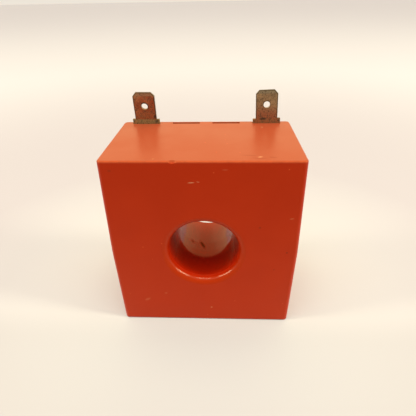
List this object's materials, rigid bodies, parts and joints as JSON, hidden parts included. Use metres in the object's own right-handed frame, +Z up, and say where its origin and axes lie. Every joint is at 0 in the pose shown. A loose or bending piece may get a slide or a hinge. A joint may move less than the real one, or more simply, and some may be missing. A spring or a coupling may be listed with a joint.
{
  "type": "window-type current transformer",
  "caption": "Resin-filled red plastic case with a round window for a conductor, a toroidal winding inside and two flat push-on terminals on top.",
  "frame": {"origin": "middle of the case's base, on the surface that it stands on", "axes": "+X to the right across the width, +Y from the front wall to the rear rim along the window, +Z up towards the terminals"},
  "size_m": [0.051, 0.03, 0.0626],
  "materials": {
    "case_plastic": "satin moulded plastic, lightly scuffed",
    "potting_resin": "cast resin surface",
    "core_steel": "wound strip, dull",
    "cap_plastic": "moulded plastic",
    "winding_copper": "enamelled copper wire",
    "winding_tape": "polyester tape",
    "lead_sleeve": "woven sleeve, plain",
    "solder": "soldered joint, satin",
    "terminal_metal": "tinned brass, tarnished brown"
  },
  "bodies": {
    "root": {"case": "case_plastic", "potting_resin": "potting_resin", "core": "core_steel", "core_cap_front": "cap_plastic", "core_cap_rear": "cap_plastic", "secondary_winding": "winding_copper", "winding_tape": "winding_tape", "lead_sleeve_left": "lead_sleeve", "lead_sleeve_right": "lead_sleeve", "solder_joint_left": "solder", "solder_joint_right": "solder", "terminal_left": "terminal_metal", "terminal_right": "terminal_metal"}
  },
  "joints": []
}
